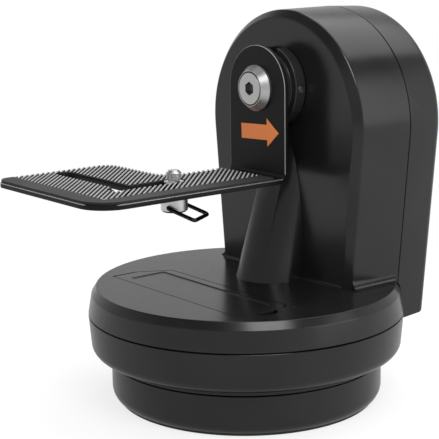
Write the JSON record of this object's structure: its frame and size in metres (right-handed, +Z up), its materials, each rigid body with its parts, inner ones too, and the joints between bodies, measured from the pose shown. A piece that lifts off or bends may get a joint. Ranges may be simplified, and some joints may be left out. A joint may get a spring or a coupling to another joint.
{
  "type": "motorized pan tilt head",
  "caption": "Motorised pan and tilt head: round base that turns on its foot, tower with a tilting steel bracket, ribbed camera platform and captive camera screw.",
  "frame": {"origin": "centre of the tripod socket's mouth, on the pan axis, in the plane the foot stands on", "axes": "+Z up; +X the way the lens looks, as the arrow points; +Y the back, where the tower stands"},
  "size_m": [0.132, 0.1518, 0.1604],
  "materials": {
    "housing_black": "fine spark-eroded grain, charcoal black",
    "foot_rubber": "smooth black rubber",
    "brass": "machined, bare",
    "gear_white": "natural acetal",
    "screw_steel": "zinc plated",
    "bare_steel": "bare, machined",
    "motor_can": "drawn can, nickel plated",
    "inner_plastic": "plain black moulding",
    "cell_jacket": "plain printed sleeve without any text",
    "contact_nickel": "nickel plated strip",
    "board_green": "solder resist",
    "hub_black": "satin black moulding",
    "bracket_grey": "satin charcoal powder coat",
    "pad_rubber": "ribbed dark grey rubber",
    "bright_steel": "bright plated, turned",
    "arrow_orange": "printed film, one plain arrow",
    "ring_black": "black oxide wire"
  },
  "bodies": {
    "base": {"base_drum": "housing_black", "foot_ring": "foot_rubber", "tripod_bush": "brass", "pan_gear": "gear_white", "pan_gear_screws": "screw_steel", "pan_washer": "gear_white", "pan_retainer": "bare_steel", "pan_retainer_screw": "screw_steel"},
    "turntable": {"turntable_pan": "housing_black", "turntable_cover": "housing_black", "rear_cover": "housing_black", "housing_screws": "screw_steel", "rear_cover_screws": "screw_steel", "floor_screws": "screw_steel", "pan_gearbox": "motor_can", "pan_motor": "motor_can", "tilt_frame": "bare_steel", "tilt_stop_pins": "bare_steel", "frame_screws": "screw_steel", "tilt_gearbox": "motor_can", "tilt_motor": "motor_can", "tilt_gearbox_screws": "screw_steel", "tilt_bush_front": "brass", "tilt_bush_back": "brass", "battery_holder": "inner_plastic", "battery_cells": "cell_jacket", "contact_plates": "contact_nickel", "contact_springs": "contact_nickel", "circuit_board": "board_green", "board_screws": "screw_steel", "dc_inlet": "inner_plastic", "remote_socket": "inner_plastic"},
    "pan_drive": {"pan_pinion": "bare_steel"},
    "tilt_drive": {"tilt_pinion": "bare_steel"},
    "tilt_arm": {"tilt_shaft": "bare_steel", "tilt_sector": "gear_white", "sector_pin": "bare_steel", "shaft_clip": "bare_steel", "tilt_hub": "hub_black", "grub_screw": "screw_steel", "camera_bracket": "bracket_grey", "platform_pad": "pad_rubber", "pivot_screw": "bright_steel", "arrow_mark": "arrow_orange"},
    "screw_slide": {"slide_washer": "inner_plastic"},
    "screw_turn": {"camera_screw": "bright_steel", "screw_clip": "bright_steel"},
    "ring_fold": {"d_ring": "ring_black"},
    "door_flap": {"battery_door": "housing_black"}
  },
  "joints": [
    {"name": "pan", "type": "hinge", "parent": "base", "child": "turntable", "pos_m": [0, 0, 0.0173], "axis": [0, 0, 1], "range_deg": [-165, 165]},
    {"name": "tilt", "type": "hinge", "parent": "turntable", "child": "tilt_arm", "pos_m": [0, 0.0091, 0.1288], "axis": [0, -1, 0], "range_deg": [-15, 15]},
    {"name": "pan_pinion_turn", "type": "hinge", "parent": "turntable", "child": "pan_drive", "pos_m": [-0.01875, 0.03248, 0.0105], "axis": [0, 0, 1], "range_deg": [-660, 660]},
    {"name": "tilt_pinion_turn", "type": "hinge", "parent": "turntable", "child": "tilt_drive", "pos_m": [0, 0.0285, 0.0913], "axis": [0, -1, 0], "range_deg": [-60, 60]},
    {"name": "screw_travel", "type": "slide", "parent": "tilt_arm", "child": "screw_slide", "axis": [0, -1, 0], "range_m": [-0.0004, 0.0272]},
    {"name": "screw_turn", "type": "hinge", "parent": "screw_slide", "child": "screw_turn", "pos_m": [-0.006, -0.0317, 0.086], "axis": [0, 0, 1], "continuous": true},
    {"name": "ring_fold", "type": "hinge", "parent": "screw_turn", "child": "ring_fold", "pos_m": [-0.006, -0.0317, 0.084], "axis": [-0.5, 0.866, 0], "range_deg": [-18, 70]},
    {"name": "door_open", "type": "hinge", "parent": "turntable", "child": "door_flap", "pos_m": [-0.04185, -0.0252, 0.04775], "axis": [0, -1, 0], "range_deg": [0, 25]}
  ],
  "couplings": [
    {"joint": "pan_pinion_turn", "follows": "pan", "ratio": 4},
    {"joint": "tilt_pinion_turn", "follows": "tilt", "ratio": -4}
  ]
}
